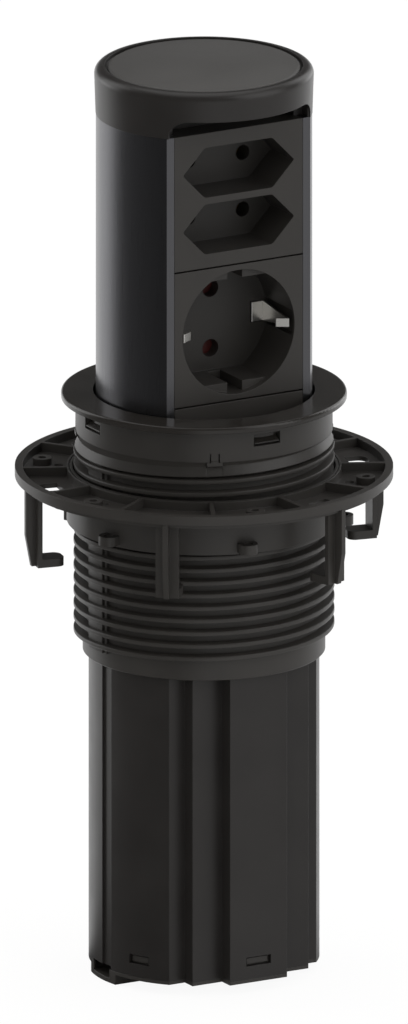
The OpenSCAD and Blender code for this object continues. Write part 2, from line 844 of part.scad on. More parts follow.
module tower_profile() {
    color(ANODISED)
    translate([0, 0, foot_top])
    linear_extrude(height = profile_top - foot_top)
    difference() {
        union() {
            difference() {
                tower_outline(0);
                intersection() {
                    circle(r = profile_in_r);
                    translate([-tower_r, plate_back]) square([2 * tower_r, 2 * tower_r]);
                }
                translate([-opening_w2, face_y - past]) square([2 * opening_w2, plate_t + past]);
            }
            // Ledges behind the faceplates and the screw ports
            intersection() {
                circle(r = tower_r - profile_wall / 2);
                for (side = [-1, 1])
                    translate([side > 0 ? ledge_x : -tower_r, plate_back])
                        square([tower_r - ledge_x, ledge_t]);
            }
            at_ports_flat() {
                circle(r = port_out_r);
                translate([0, -port_web_w / 2]) square([tower_r - profile_wall / 2 - port_r, port_web_w]);
            }
        }
        at_ports_flat() circle(r = port_bore_r, $fn = 32);
    }
}

module at_ports_flat() {
    for (az = port_az) rotate(az) translate([port_r, 0]) children();
}

module top_cap() {
    front_wall = face_y + finger_d + cap_wall;
    low = [cap_low_r, profile_top];
    bend = [cap_r - cap_edge_r, cap_top - cap_edge_r];
    color(BLACK)
    difference() {
        union() {
            difference() {
                rotate_extrude() {
                    polygon([
                        [0, profile_top], low, tangent_point(low, bend, cap_edge_r), bend, [0, bend[1]]
                    ]);
                    translate([0, profile_top]) square([bend[0], cap_h]);
                    translate(bend) circle(r = cap_edge_r, $fn = 48);
                }
                // The hollow under the deck, behind the finger recess
                intersection() {
                    translate([0, 0, profile_top - past])
                        cylinder(r = cap_r - cap_wall, h = cap_h - inlay_t - deck_t + past);
                    span([-2 * cap_r, front_wall, 0], [2 * cap_r, 2 * cap_r, 2 * cap_top]);
                }
            }
            at_ports() translate([0, 0, profile_top])
                cylinder(r = port_out_r + 0.6, h = cap_h - inlay_t - past);
        }
        translate([0, 0, deck_top]) cylinder(r = inlay_r + inlay_gap, h = 2 * inlay_t);
        // Screw holes in the bosses
        at_ports() {
            translate([0, 0, profile_top - past]) cylinder(r = screw_hole_r, h = 2 * cap_h);
            translate([0, 0, deck_top - screw_head_t - 0.2]) cylinder(r = head_hole_r, h = cap_h);
        }
        // The finger recess: open before the face, shallow over the profile's ledges, deep over the lip
        intersection() {
            union() {
                span([-2 * cap_r, -2 * cap_r, 0], [2 * cap_r, face_y, arch_z]);
                span([arch_end - arch_w2, face_y - past, 0],
                     [arch_w2 - arch_end, plate_back + ledge_t - 0.1, arch_z]);
                span([fit - ledge_x, face_y - past, 0], [ledge_x - fit, face_y + finger_d, arch_z]);
            }
            arch_cut();
        }
    }
}

// The finger recess's outline, seen from the front and cut along Y
module arch_cut() {
    translate([0, cap_r, 0]) rotate([90, 0, 0]) linear_extrude(height = 3 * cap_r) {
        translate([-arch_w2, 0]) square([2 * arch_w2, arch_z - arch_r]);
        translate([arch_r - arch_w2, 0]) square([2 * (arch_w2 - arch_r), arch_z]);
        for (side = [-1, 1])
            translate([side * (arch_w2 - arch_r), arch_z - arch_r]) circle(r = arch_r, $fn = 48);
    }
}

module cap_inlay() {
    color(CHARCOAL) translate([0, 0, deck_top]) cylinder(r = inlay_r, h = inlay_t - 0.1);
}

// A screw that points down from the underside of its head at z
module screw_down(z, long) {
    translate([0, 0, z - long]) cylinder(r = screw_r, h = long + screw_head_t / 2);
    difference() {
        translate([0, 0, z]) cylinder(r = screw_head_r, h = screw_head_t);
        for (a = [0, 90]) rotate([0, 0, a]) translate([0, 0, z + screw_head_t])
            cube([3, 0.7, 1.6], center = true);
    }
}

module cap_screws() {
    z = deck_top - screw_head_t - 0.2;
    color(STEEL) at_ports() screw_down(z, z - profile_top + screw_grip);
}

// A faceplate from z0 to z1, with half a seam left at each end that meets another
module plate(z0, z1) {
    span([-plate_w2, face_y, z0], [plate_w2, plate_back, z1]);
}

module face_extrude(y0, y1) {
    translate([0, y1, 0]) rotate([90, 0, 0]) linear_extrude(height = y1 - y0) children();
}

module two_pin_faceplate() {
    color(SOFT_BLACK)
    difference() {
        union() {
            plate(upper_z + seam / 2, profile_top);
            // The lip behind its upper edge is the finger recess's floor
            span([fit - ledge_x, plate_back - 0.5, profile_top - lip_t],
                 [ledge_x - fit, face_y + finger_d - fit, profile_top]);
            for (z = hex_z) translate([0, 0, z])
                face_extrude(plate_back - 0.5, euro_back)
                    hex_outline(hex_wall, hex_tip_r + hex_wall, hex_r);
        }
        for (z = hex_z) translate([0, 0, z]) {
            face_extrude(face_y - past, face_y + hex_d) hex_outline(0, hex_tip_r, hex_r);
            for (side = [-1, 1]) along_y(euro_hole_d / 2, side * pin_2, 0, face_y, bar_y);
        }
    }
}

module two_pin_carrier() {
    low = hex_z[1] - hex_h2 - hex_wall;
    high = hex_z[0] + hex_h2 + hex_wall;
    color(WHITE)
    difference() {
        span([-block_x, euro_back, low], [block_x, bar_y, high]);
        for (z = hex_z) for (side = [-1, 1]) {
            along_y(euro_pin_r + contact_wall + 0.1, side * pin_2, z, euro_back - past, chamber_y);
            along_y(tail_hole_r, side * pin_2, z, 0, bar_y + past);
        }
    }
}

// A contact: a tube for the pin, closed at its back, with a riveted tail
module contact(pin_r, x, z, front, back) {
    difference() {
        along_y(pin_r + contact_wall, x, z, front, back);
        along_y(pin_r, x, z, front - past, back - 1);
        translate([x, (front + back) / 2 - 2, z]) cube([4 * pin_r, back - front - 2, 0.5], center = true);
    }
    along_y(tail_r, x, z, back - 0.5, bar_y + bar_t + 0.3);
}

module two_pin_contacts() {
    color(BRASS)
    for (z = hex_z) for (side = [-1, 1])
        contact(euro_pin_r, side * pin_2, z, euro_back + contact_in, chamber_y);
}

module earthed_faceplate() {
    floor_y = face_y + well_d;
    color(SOFT_BLACK)
    difference() {
        union() {
            plate(middle_z + seam / 2, upper_z - seam / 2);
            along_y(well_r + well_wall, 0, well_z, plate_back - 0.5, well_back);
            span([-well_boss_x, plate_back - 0.5, well_z - clip_hole_w2 - 1],
                 [well_boss_x, well_back, well_z + clip_hole_w2 + 1]);
        }
        // The round recess, with slotted flats above and below that start a little behind the face
        along_y(well_r, 0, well_z, face_y - past, face_y + key_drop);
        intersection() {
            along_y(well_r, 0, well_z, face_y - past, floor_y);
            union() {
                span([-2 * well_r, face_y - past, well_z - key_2], [2 * well_r, floor_y, well_z + key_2]);
                span([-key_w / 2, face_y - past, well_z - 2 * well_r],
                     [key_w / 2, floor_y - 1.5, well_z + 2 * well_r]);
            }
        }
        for (side = [-1, 1]) {
            along_y(well_hole_d / 2, 0, well_z + side * pin_2, face_y, bar_y);
            // Grooves for the earth clip in the wall, and the slots where it goes through the floor
            mirror([side > 0 ? 0 : 1, 0, 0]) {
                span([well_r - 4, face_y + 1, well_z - clip_hole_w2],
                     [clip_slot_x, floor_y, well_z + clip_hole_w2]);
                span([clip_x - clip_t / 2 - fit, floor_y - past, well_z - clip_w / 2 - fit],
                     [clip_x + clip_t / 2 + fit, bar_y, well_z + clip_w / 2 + fit]);
            }
        }
    }
}

module earthed_carrier() {
    color(WHITE)
    difference() {
        span([-carrier_x, well_back, well_z - carrier_h2], [carrier_x, bar_y, well_z + carrier_h2]);
        // Room for the shutter and its spring
        span([-shutter_w2 - run, well_back - past, well_z - shutter_h2 - run],
             [cavity_x, cavity_back, well_z + shutter_h2 + run]);
        for (side = [-1, 1]) {
            along_y(well_pin_r + contact_wall + 0.1, 0, well_z + side * pin_2, 0, well_chamber_y);
            along_y(tail_hole_r, 0, well_z + side * pin_2, 0, bar_y + past);
        }
    }
}

module earthed_contacts() {
    color(BRASS)
    for (side = [-1, 1]) contact(well_pin_r, 0, well_z + side * pin_2, cavity_back + 0.1, well_chamber_y);
}

// The bent earth strip. Each end comes through the floor, lies on it, runs forward along the wall
// and is folded back inward at its tip.
module earth_clip() {
    floor_y = face_y + well_d - clip_t / 2;
    front = face_y + clip_front;
    line = [
        [clip_x, earth_y], [clip_x, floor_y], [clip_wall_x, floor_y],
        [clip_wall_x, front], [clip_in_x, front + clip_fold]
    ];
    color(NICKEL)
    intersection() {
        translate([0, 0, well_z - clip_w / 2]) linear_extrude(height = clip_w) {
            intersection() {
                for (side = [0, 1]) mirror([side, 0]) strip_line(line, clip_t);
                translate([-tower_r, face_y]) square([2 * tower_r, earth_y - face_y]);
            }
        }
        // The strip narrows toward its tips
        translate([tower_r, 0, well_z]) rotate([0, -90, 0]) linear_extrude(height = 2 * tower_r)
            polygon([
                [-clip_w, earth_y + past], [-clip_w / 2, floor_y - 1],
                [-clip_tip_w / 2, front + clip_fold], [-clip_tip_w / 2, front - past],
                [clip_tip_w / 2, front - past], [clip_tip_w / 2, front + clip_fold],
                [clip_w / 2, floor_y - 1], [clip_w, earth_y + past]
            ]);
    }
}

module lower_plate() {
    color(SOFT_BLACK) plate(foot_top, middle_z - seam / 2);
}

// A flat bar on the plane y, from corner to corner
module bar_piece(y, a, b) {
    span([a[0], y, a[1]], [b[0], y + bar_t, b[1]]);
}

// A bar on one side with holes for the contacts' tails and an arm to one contact of the round socket
module side_bar(side) {
    x = side * pin_2;
    z = well_z + side * pin_2;
    difference() {
        union() {
            bar_piece(bar_y, [x - bar_w / 2, bar_low], [x + bar_w / 2, hex_z[0] + bar_w / 2]);
            bar_piece(bar_y, [min(x, -side * bar_w / 2), z - bar_w / 3],
                      [max(x, -side * bar_w / 2), z + bar_w / 3]);
        }
        for (high = hex_z) along_y(tail_r + 0.05, x, high, 0, earth_y);
        along_y(tail_r + 0.05, 0, z, 0, earth_y);
    }
}

module live_bar() {
    color(BRASS) side_bar(1);
}

module neutral_bar() {
    color(BRASS) side_bar(-1);
}

module earth_bar() {
    color(BRASS) {
        bar_piece(earth_y, [-clip_x - 1, well_z - bar_w / 2], [clip_x + 1, well_z + bar_w / 2]);
        bar_piece(earth_y, [-bar_w / 2, bar_low], [bar_w / 2, well_z]);
    }
}

// Where the three bars enter the terminal block
terminals = [[-pin_2, bar_y], [0, earth_y], [pin_2, bar_y]];

module terminal_block() {
    top = block_low + block_h;
    color(WHITE)
    difference() {
        span([-block_x, block_y[0], block_low], [block_x, block_y[1], top]);
        for (t = terminals) {
            span([t[0] - bar_w / 2 - 0.1, t[1] - 0.1, bar_low - 0.1],
                 [t[0] + bar_w / 2 + 0.1, t[1] + bar_t + 0.1, top + past]);
            translate([t[0], t[1] - 1.5, block_low - past]) cylinder(r = 1.8, h = bar_low - block_low + past);
            along_y(screw_r + 0.05, t[0], bar_low + 3, t[1], block_y[1] + past);
        }
    }
}

module terminal_screws() {
    color(STEEL)
    for (t = terminals) {
        along_y(screw_r, t[0], bar_low + 3, t[1] + bar_t, block_y[1] + 0.5);
        along_y(screw_head_r - 0.4, t[0], bar_low + 3, block_y[1], block_y[1] + 1.4);
    }
}

module tower_foot() {
    color(BLACK)
    difference() {
        union() {
            translate([0, 0, foot_low]) linear_extrude(height = foot_h) tower_outline(0);
            translate([0, 0, foot_top - past]) linear_extrude(height = plug_h + past) plug_outline();
            // The stop that runs in the tube's front channel and meets the guide ring
            span([-stop_w2, stop_y, foot_low], [stop_w2, face_y + past, foot_top]);
            span([-stop_w2, stop_y, foot_top - past], [stop_w2, face_y, -flange_top - stop_gap]);
        }
        // The hollow for the cable and the way up to the terminal block
        translate([0, 0, foot_low - past]) linear_extrude(height = foot_h - foot_roof + past) {
            intersection() {
                circle(r = foot_in_r);
                translate([-foot_in_r, face_y + 3]) square(2 * foot_in_r);
            }
            at_ports_flat() circle(r = head_hole_r);
        }
        span([-door_x, door_y[0], foot_low], [door_x, door_y[1], past]);
        // Room for the screws and the brake shoes
        at_ports() translate([0, 0, foot_low - past]) cylinder(r = screw_hole_r, h = foot_h + 2 * past);
        for (side = [0, 1]) mirror([side, 0, 0])
            span([pocket_x, -shoe_w2 - shoe_play, shoe_z - shoe_h / 2 - shoe_play],
                 [2 * tower_r, shoe_w2 + shoe_play, shoe_z + shoe_h / 2 + shoe_play]);
    }
}

// The foot's plug inside the profile, cut back around the screw ports
module plug_outline() {
    difference() {
        intersection() {
            circle(r = profile_in_r - fit);
            translate([fit - ledge_x, plate_back]) square([2 * (ledge_x - fit), 2 * tower_r]);
        }
        at_ports_flat() {
            circle(r = port_out_r + fit);
            translate([0, -port_web_w / 2 - fit]) square([tower_r - port_r, port_web_w + 2 * fit]);
        }
    }
}

module foot_screws() {
    color(STEEL) at_ports() mirror([0, 0, 1]) screw_down(foot_roof - foot_top, foot_roof + screw_grip);
}

// Sprung pieces

module pin_shutter() {
    color(RED)
    span([-shutter_w2, shutter_y, well_z - shutter_h2],
         [shutter_w2, shutter_y + shutter_t, well_z + shutter_h2]);
}

module shutter_spring() {
    r = shutter_t / 2;
    color(STEEL)
    translate([shutter_w2, shutter_y + r, well_z]) coil(r, wire_r, cavity_x - shutter_w2, 6, 6);
}

module brake_shoe(side) {
    mirror([side, 0, 0])
    intersection() {
        translate([0, 0, shoe_z - shoe_h / 2]) cylinder(r = tower_r + shoe_out, h = shoe_h);
        span([shoe_in, -shoe_w2, shoe_z - shoe_h], [2 * tower_r, shoe_w2, shoe_z + shoe_h]);
    }
}

module brake_spring(side) {
    mirror([side, 0, 0]) translate([pocket_x, 0, shoe_z]) coil(spring_r, wire_r, shoe_in - pocket_x, 4, 6);
}

module brake_shoe_left() {
    color(SOFT_BLACK) brake_shoe(1);
}

module brake_shoe_right() {
    color(SOFT_BLACK) brake_shoe(0);
}

module brake_spring_left() {
    color(STEEL) brake_spring(1);
}

module brake_spring_right() {
    color(STEEL) brake_spring(0);
}

collar();
neck_sleeve();
guide_ring();
threaded_sleeve();
outer_tube();
base_cover();
cable_bush();
slip_ring();
clamp_ring();
tower_profile();
top_cap();
cap_inlay();
cap_screws();
two_pin_faceplate();
two_pin_carrier();
two_pin_contacts();
earthed_faceplate();
earthed_carrier();
earthed_contacts();
earth_clip();
lower_plate();
live_bar();
neutral_bar();
earth_bar();
terminal_block();
terminal_screws();
tower_foot();
foot_screws();
pin_shutter();
shutter_spring();
brake_shoe_left();
brake_shoe_right();
brake_spring_left();
brake_spring_right();
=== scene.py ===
# %% [markdown]
# # A pop up desk socket
#
# The real thing is a round tower of black aluminium and black plastic that slides up out of a tube
# in a desk. Its flat face carries two flat two-pin sockets and one round earthed socket. The packed
# CAD model gives every piece its place and its size in metres, so this script only dresses it: it
# lights a plain studio, works out a finer skin where the CAD solid is too plain, welds smooth copies
# of the springs, and gives every piece the finish that its real material has, a few of them painted
# paler or darker as painted light and shade.

# %% Load the frame
import json
import math

import bmesh
import bpy
import numpy as np
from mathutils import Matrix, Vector


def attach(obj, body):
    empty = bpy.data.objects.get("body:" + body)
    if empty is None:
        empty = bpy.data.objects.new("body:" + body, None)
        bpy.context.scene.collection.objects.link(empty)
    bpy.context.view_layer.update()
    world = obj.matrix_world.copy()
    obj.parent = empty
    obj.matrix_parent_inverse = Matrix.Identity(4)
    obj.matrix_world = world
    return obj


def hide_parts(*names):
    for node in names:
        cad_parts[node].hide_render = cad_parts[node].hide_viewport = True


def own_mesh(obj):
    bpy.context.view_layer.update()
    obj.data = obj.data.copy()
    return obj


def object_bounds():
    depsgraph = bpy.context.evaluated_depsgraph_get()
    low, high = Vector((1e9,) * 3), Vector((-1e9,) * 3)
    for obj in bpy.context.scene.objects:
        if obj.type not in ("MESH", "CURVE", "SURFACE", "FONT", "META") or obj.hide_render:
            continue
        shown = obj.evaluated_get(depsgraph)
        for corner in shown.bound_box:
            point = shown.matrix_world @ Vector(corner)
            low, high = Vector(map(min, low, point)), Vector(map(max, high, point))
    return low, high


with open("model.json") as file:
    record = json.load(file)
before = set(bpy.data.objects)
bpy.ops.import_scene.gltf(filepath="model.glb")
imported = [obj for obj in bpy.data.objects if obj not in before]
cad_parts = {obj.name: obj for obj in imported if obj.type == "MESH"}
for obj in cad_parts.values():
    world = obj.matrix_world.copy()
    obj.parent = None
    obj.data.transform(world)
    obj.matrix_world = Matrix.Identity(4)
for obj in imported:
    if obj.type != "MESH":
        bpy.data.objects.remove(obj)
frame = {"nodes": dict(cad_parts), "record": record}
cad_box = [list(corner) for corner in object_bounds()]
nodes = frame["nodes"]
print("CAD nodes:", len(nodes), "box:", [[round(v, 4) for v in corner] for corner in cad_box])

# %% [markdown]
# ## Small helpers
#
# Colours are written as the hex codes a paint shop would use. Blender mixes light in linear values,
# so one function turns a code into them. A material in Blender is a small network of nodes. Adding
# a node always means the same three things: make it, set its settings, and plug its inputs. One
# function does all three, so that each material below reads as a list of what it is made of.

# %% Colours and nodes
MM = 0.001


def linear(code):
    """Linear red, green, blue and alpha of an sRGB hex code: a twelfth below 0.04045, a power above."""
    values = [int(code[i:i + 2], 16) / 255 for i in (1, 3, 5)]
    return [v / 12.92 if v <= 0.04045 else ((v + 0.055) / 1.055) ** 2.4 for v in values] + [1.0]


def per_metre(size_mm):
    """The texture scale at which one feature of a noise is about size_mm across."""
    return 1 / (size_mm * MM)


def add(tree, kind, inputs=None, **settings):
    """Adds a node, sets its settings, and plugs a socket or writes a value into each named input."""
    node = tree.nodes.new(kind)
    for name, value in settings.items():
        setattr(node, name, value)
    for name, value in (inputs or {}).items():
        if isinstance(value, bpy.types.NodeSocket):
            tree.links.new(value, node.inputs[name])
        else:
            node.inputs[name].default_value = value
    return node


print("1 mm of grain has a noise scale of", per_metre(1))

# %% [markdown]
# ## Camera
#
# The product shot is taken from far away with a long lens, so parallel edges stay parallel. An
# orthographic camera gives the same picture and is easy to set from measurements: 3.28 pixels are
# one millimetre, and the picture is 1024 pixels high. The camera stands 29.5 degrees to the left of
# the flat face and looks down by 16 degrees, at a point of the axis 37 mm below the desk's top.

# %% Camera
PIXELS_PER_MM = 3.28
PICTURE_HIGH = 1024
LOOK_AT_MM = (0, 0, -37.0)
AWAY = 2

turn, tilt = math.radians(-29.5), math.radians(16)
back = Vector((math.sin(turn) * math.cos(tilt), -math.cos(turn) * math.cos(tilt), math.sin(tilt)))
camera_data = bpy.data.cameras.new("camera")
camera_data.type = "ORTHO"
camera_data.ortho_scale = PICTURE_HIGH / PIXELS_PER_MM * MM
camera_data.clip_end = 10
camera = bpy.data.objects.new("camera", camera_data)
camera.location = Vector(LOOK_AT_MM) * MM + back * AWAY
camera.rotation_mode = "QUATERNION"
camera.rotation_quaternion = (-back).to_track_quat("-Z", "Y")
bpy.context.scene.collection.objects.link(camera)
bpy.context.scene.camera = camera
print("camera sees", round(camera_data.ortho_scale, 4), "m from top to bottom")

# %% [markdown]
# ## Studio
#
# The object stands on a pale sweep that fades into a white backdrop. Black plastic shows mostly
# what it mirrors. The white studio behind the object draws the bright rims down its two sides, and
# a black flag at its left and a dimmer front keep the middle dark. Mirrors see this studio and
# nothing else does: matt surfaces get an even fill and four soft boxes, and the camera sees plain
# white, which comes from the world's colour for camera rays and not from more light on the object.

# %% Floor
FLOOR_SIZE, FLOOR_GAP_MM = 6.0, 0.2
WHITE = linear("#ffffff")
# How much of the floor the camera sees as plain white; the rest shows the object's shadow
PAPER_GLOW = 0.93
# The flag starts, and is at its darkest, where this share of the direction points left
FLAG_STARTS, FLAG_FULL, FLAG_LEVEL = 0.42, 0.80, 0.10
# The same for the dimmer front, by the share of the direction that points forward
FRONT_STARTS, FRONT_FULL, FRONT_LEVEL = -0.6, 0.6, 0.46


def material(name):
    """A new material's node tree with only an output in it, that output, and the material."""
    made = bpy.data.materials.new(name)
    made.use_nodes = True
    made.node_tree.nodes.clear()
    return made.node_tree, add(made.node_tree, "ShaderNodeOutputMaterial"), made


def studio_card(tree, direction):
    """How bright the studio is toward a direction, as two smooth steps round the compass.

    It is white behind the object, dimmer in front, and nearly black at the flag on its left.
    """
    level = add(tree, "ShaderNodeVectorMath", {0: direction, 1: (1, 1, 0)}, operation="MULTIPLY")
    compass = add(tree, "ShaderNodeVectorMath", {0: level.outputs[0]}, operation="NORMALIZE")
    leftward = add(tree, "ShaderNodeVectorMath", {0: compass.outputs[0], 1: (-1, 0, 0)},
                   operation="DOT_PRODUCT")
    forward = add(tree, "ShaderNodeVectorMath", {0: compass.outputs[0], 1: (0, -1, 0)},
                  operation="DOT_PRODUCT")
    flag = add(tree, "ShaderNodeMapRange", {
        "Value": leftward.outputs["Value"], "From Min": FLAG_STARTS, "From Max": FLAG_FULL,
        "To Min": 1.0, "To Max": FLAG_LEVEL}, interpolation_type="SMOOTHSTEP")
    depth = add(tree, "ShaderNodeMapRange", {
        "Value": forward.outputs["Value"], "From Min": FRONT_STARTS, "From Max": FRONT_FULL,
        "To Min": 1.0, "To Max": FRONT_LEVEL}, interpolation_type="SMOOTHSTEP")
    both = add(tree, "ShaderNodeMath", {0: flag.outputs[0], 1: depth.outputs[0]},
               operation="MULTIPLY")
    return both.outputs[0]


tree, output, paper = material("studio_paper")
rays = add(tree, "ShaderNodeLightPath")
matt = add(tree, "ShaderNodeBsdfDiffuse", {"Color": linear("#f4f4f4")})
glow = add(tree, "ShaderNodeEmission", {"Color": WHITE, "Strength": 1.0})
share = add(tree, "ShaderNodeMath", {0: rays.outputs["Is Camera Ray"], 1: PAPER_GLOW},
            operation="MULTIPLY")
seen = add(tree, "ShaderNodeMixShader", {
    0: share.outputs[0], 1: matt.outputs[0], 2: glow.outputs[0]})
place = add(tree, "ShaderNodeTexCoord").outputs["Object"]
mirrored = add(tree, "ShaderNodeEmission", {"Color": WHITE, "Strength": studio_card(tree, place)})
either = add(tree, "ShaderNodeMixShader", {
    0: rays.outputs["Is Glossy Ray"], 1: seen.outputs[0], 2: mirrored.outputs[0]})
tree.links.new(either.outputs[0], output.inputs["Surface"])

floor_z = cad_box[0][2] - FLOOR_GAP_MM * MM
half = FLOOR_SIZE / 2
floor_corners = [(-half, -half, floor_z), (half, -half, floor_z),
                 (half, half, floor_z), (-half, half, floor_z)]
floor_mesh = bpy.data.meshes.new("floor")
floor_mesh.from_pydata(floor_corners, [], [(0, 1, 2, 3)])
floor_mesh.materials.append(paper)
floor = bpy.data.objects.new("floor", floor_mesh)
bpy.context.scene.collection.objects.link(floor)
print("floor at", round(floor_z, 4), "m")

# %% World
# The mirrored studio fades to a dim ceiling by this height of the direction
CEILING_HIGH, CEILING_LEVEL = 0.12, 0.06
FILL_LEVEL = 0.95

world = bpy.data.worlds.new("studio")
world.use_nodes = True
tree = world.node_tree
tree.nodes.clear()
rays = add(tree, "ShaderNodeLightPath")
direction = add(tree, "ShaderNodeTexCoord").outputs["Generated"]
height = add(tree, "ShaderNodeSeparateXYZ", {0: direction}).outputs["Z"]
ceiling = add(tree, "ShaderNodeMapRange", {
    "Value": height, "From Min": 0.0, "From Max": CEILING_HIGH,
    "To Min": 1.0, "To Max": CEILING_LEVEL})
card = add(tree, "ShaderNodeMath", {0: studio_card(tree, direction), 1: ceiling.outputs[0]},
           operation="MULTIPLY")
mirrored = add(tree, "ShaderNodeBackground", {"Color": WHITE, "Strength": card.outputs[0]})
fill = add(tree, "ShaderNodeBackground", {"Color": linear("#f8f6f2"), "Strength": FILL_LEVEL})
backdrop = add(tree, "ShaderNodeBackground", {"Color": WHITE, "Strength": 1.0})
around = add(tree, "ShaderNodeMixShader", {
    0: rays.outputs["Is Glossy Ray"], 1: fill.outputs[0], 2: mirrored.outputs[0]})
seen = add(tree, "ShaderNodeMath", {
    0: rays.outputs["Is Camera Ray"], 1: rays.outputs["Is Transmission Ray"]},
    operation="MAXIMUM")
whole = add(tree, "ShaderNodeMixShader", {
    0: seen.outputs[0], 1: around.outputs[0], 2: backdrop.outputs[0]})
add(tree, "ShaderNodeOutputWorld", {"Surface": whole.outputs[0]})
bpy.context.scene.world = world
bpy.context.scene.view_settings.view_transform = "Standard"
print("world nodes:", len(tree.nodes))


# %% Soft boxes
def soft_box(name, place, aim, size, watts):
    """A rectangular lamp at a place, facing the point aim."""
    data = bpy.data.lights.new(name, "AREA")
    data.shape = "RECTANGLE"
    data.size, data.size_y = size
    data.energy = watts
    lamp = bpy.data.objects.new(name, data)
    lamp.location = place
    lamp.rotation_mode = "QUATERNION"
    lamp.rotation_quaternion = (Vector(place) - Vector(aim)).to_track_quat("Z", "Y")
    bpy.context.scene.collection.objects.link(lamp)


middle = (0, 0, -0.03)
soft_box("key_box", (0.9, -1.2, 0.9), middle, (1.6, 1.6), 9)
soft_box("back_box", (-0.7, 1.1, 0.4), middle, (0.8, 1.4), 5)
soft_box("right_box", (1.3, 0.5, 0.5), middle, (0.8, 1.2), 4)
soft_box("top_box", (0.1, 0.3, 1.6), middle, (1.8, 1.8), 8)

# %% [markdown]
# ## Surfaces from formulas
#
# A turned or threaded piece is easiest to think of as a grid: one direction runs along its outline,
# the other round its axis. Blender could spin or screw a profile, but then every ring is the same.
# Working the whole grid out as numpy arrays lets the radius and the height depend on the angle too,
# which the thread, the notches and the moulded strip on this sleeve need.


# %% A skin over a grid
def skin(name, points, body, closed_rows=False, sharp=35):
    """A mesh over a grid of points in millimetres, one quad to a cell.

    Columns always close on themselves, and rows where asked. An end row that stays open is capped
    by one face.
    """
    rows, columns = points.shape[:2]
    row = np.arange(rows if closed_rows else rows - 1)[:, None]
    column = np.arange(columns)[None, :]
    next_row, next_column = (row + 1) % rows, (column + 1) % columns
    corners = [(row, column), (row, next_column), (next_row, next_column), (next_row, column)]
    quads = np.stack([r * columns + c for r, c in corners], axis=-1)
    faces = quads.reshape(-1, 4).tolist()
    if not closed_rows:
        faces += [list(range(columns))[::-1], list(range((rows - 1) * columns, rows * columns))]
    mesh = bpy.data.meshes.new(name)
    mesh.from_pydata((points.reshape(-1, 3) * MM).tolist(), [], faces)
    mesh.shade_smooth()
    mesh.set_sharp_from_angle(angle=math.radians(sharp))
    made = bpy.data.objects.new(name, mesh)
    bpy.context.scene.collection.objects.link(made)
    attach(made, body)
    print(name, "faces:", len(faces))
    return made


def polar(radius, azimuth, z):
    """Points from radius, azimuth in degrees and height; the three arrays stretch to one grid."""
    angle = np.radians(azimuth)
    flat = (radius * np.cos(angle), radius * np.sin(angle))
    return np.stack(np.broadcast_arrays(*flat, z), axis=-1)


print("radius 10 at 90 degrees and height 1 is the point", polar(10, 90, 1).round(3))

# %% [markdown]
# ## The threaded sleeve
#
# On the real object one moulding carries a plain waist at the top, a single-start thread with a
# rise of 4 mm, a flat strip down its left side and a plain band at the bottom. The thread is one
# grid: a parameter runs along the helix and the other round the ridge's section, which sinks into
# the body near both ends as a moulded thread does. The sleeve's body is a second grid, whose rows
# follow the outline and whose columns stand close together at the edges of the strip and of the
# four notches.

# %% Thread ridge
PITCH = 4.0
ROOT_R, CREST_R, NECK_R = 37.0, 39.8, 39.25
THREAD_LOW, THREAD_HIGH, THREAD_START = -74.1, -14.9, -51.07
CREST_HALF, ROOT_HALF, CORNER = 0.7, 1.05, 0.3
# How deep the ridge's foot lies in the sleeve, and the share of its height left at its two ends
FOOT_SUNK, END_SHARE = 0.6, 0.02


def ridge_points(per_turn=144, fade_turns=0.11):
    """The centre rises by one pitch in a turn.

    The section is a wedge with two rounded corners, and its height grows from nearly nothing over
    the fade at each end.
    """
    turns = (THREAD_HIGH - THREAD_LOW) / PITCH
    t = np.linspace(0, 1, int(turns * per_turn) + 1)[:, None]
    z = THREAD_LOW + (THREAD_HIGH - THREAD_LOW) * t
    azimuth = 360 * (z - THREAD_START) / PITCH
    grown = np.clip(np.minimum(t, 1 - t) * turns / fade_turns, END_SHARE, 1)
    bend = np.radians(np.linspace(5, 90, 4))
    corner_out = CREST_R - CORNER * (1 - np.sin(bend))
    corner_side = CREST_HALF - CORNER * (1 - np.cos(bend))
    foot = ROOT_R - FOOT_SUNK
    out = np.concatenate([[foot], corner_out, corner_out[::-1], [foot]])
    side = np.concatenate([[ROOT_HALF], corner_side, -corner_side[::-1], [-ROOT_HALF]])
    radius = foot + (out[None, :] - foot) * grown
    return polar(radius, azimuth, z + side[None, :])


thread_ridge = skin("thread_ridge", ridge_points(), "housing")

# %% Sleeve body
BORE_R, SEAT_R, LOW_EDGE_R = 35.35, 37.525, 36.7
SLEEVE_LOW, THREAD_END, SEAT_LOW, NECK_LOW = -80.0, -75.3, -13.8, -10.2
LOW_EDGE_HIGH = 0.3
# The waist: a shelf over the thread's top turn, the narrow place above it, and its upper rim
TOP_TURN, TOP_TURN_LOWEST_AT = -16.4, 150.5
SHELF_UP, SHELF_R, SHELF_LIP_UP, SHELF_LIP_R = 1.65, 39.3, 1.85, 39.45
NARROW_UP, NARROW_R, NARROW_BELOW_RIM, RIM_R = 4.7, 38.3, 0.5, 38.9
# Strip and rib: their radii, and the edges of strip, slit and rib, measured across the strip
STRIP_R, RIB_R = 38.4, 37.9
STRIP_LEFT, STRIP_RIGHT, SLIT_RIGHT, RIB_RIGHT = -4.0, 4.4, 4.85, 6.0
NOTCH_HALF, NOTCH_DEEP = 2.55, 1.3
# Two columns or rows this close, in degrees and in millimetres, make a step between them look sharp
COLUMN_STEP, ROW_STEP = 0.03, 0.02

